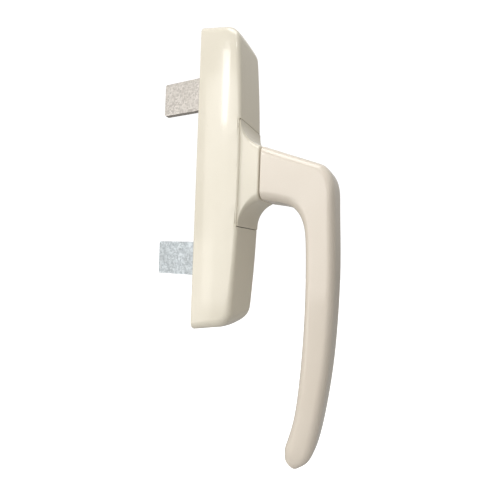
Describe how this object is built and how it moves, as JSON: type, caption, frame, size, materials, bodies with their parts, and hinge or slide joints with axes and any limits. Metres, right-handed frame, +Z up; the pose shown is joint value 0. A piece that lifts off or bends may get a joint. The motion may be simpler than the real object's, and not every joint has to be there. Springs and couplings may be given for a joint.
{
  "type": "window cremone handle",
  "caption": "Lever handle for a window sash: a slim domed casing with a flared neck, a hanging curved lever, and flat drive tabs behind that slide in opposite directions.",
  "frame": {"origin": "on the lever spindle's axis, in the plane of the back plate that lies on the sash", "axes": "+Y into the sash, out of the back, along the spindle; +Z up along the casing; +X to the left for someone in the room facing the handle"},
  "size_m": [0.0288, 0.1083, 0.2282],
  "materials": {
    "ivory_casing": "semi-gloss powder coat",
    "ivory_lever": "semi-gloss powder coat",
    "zinc_steel": "galvanised",
    "bright_steel": "ground",
    "spring_steel": "oiled",
    "black_nylon": "matte"
  },
  "bodies": {
    "mechanism": {"casing": "ivory_casing", "mechanism_body": "ivory_casing", "base_plate": "zinc_steel", "divider_plate": "zinc_steel", "plate_screws": "zinc_steel", "divider_screws": "zinc_steel", "lever_bush": "black_nylon", "spring_washer": "spring_steel", "clip_rivets": "zinc_steel", "upper_casing_clip": "spring_steel", "lower_casing_clip": "spring_steel", "upper_detent_spring": "spring_steel", "lower_detent_spring": "spring_steel"},
    "lever_set": {"lever": "ivory_lever", "square_spindle": "bright_steel", "spindle_pin": "bright_steel", "retaining_ring": "spring_steel", "index_disc": "bright_steel", "pinion": "bright_steel"},
    "upper_slide": {"upper_rack": "zinc_steel", "upper_drive_tab": "zinc_steel"},
    "lower_slide": {"lower_rack": "zinc_steel", "lower_drive_tab": "zinc_steel"},
    "upper_ball": {"upper_detent_ball": "bright_steel"},
    "lower_ball": {"lower_detent_ball": "bright_steel"}
  },
  "joints": [
    {"name": "lever_turn", "type": "hinge", "parent": "mechanism", "child": "lever_set", "pos_m": [0, 0, 0], "axis": [0, 1, 0], "range_deg": [0, 90]},
    {"name": "upper_rack_slide", "type": "slide", "parent": "mechanism", "child": "upper_slide", "axis": [0, 0, -1], "range_m": [0, 0.0111]},
    {"name": "lower_rack_slide", "type": "slide", "parent": "mechanism", "child": "lower_slide", "axis": [0, 0, 1], "range_m": [0, 0.0111]},
    {"name": "upper_click", "type": "slide", "parent": "mechanism", "child": "upper_ball", "axis": [0, 0, -1], "range_m": [0, 0.0008], "stiffness_N_per_m": 400, "deforming": ["upper_detent_spring"]},
    {"name": "lower_click", "type": "slide", "parent": "mechanism", "child": "lower_ball", "axis": [0, 0, 1], "range_m": [0, 0.0008], "stiffness_N_per_m": 400, "deforming": ["lower_detent_spring"]}
  ],
  "couplings": [
    {"joint": "upper_rack_slide", "follows": "lever_turn", "m_per_rad": 0.007},
    {"joint": "lower_rack_slide", "follows": "lever_turn", "m_per_rad": 0.007}
  ]
}
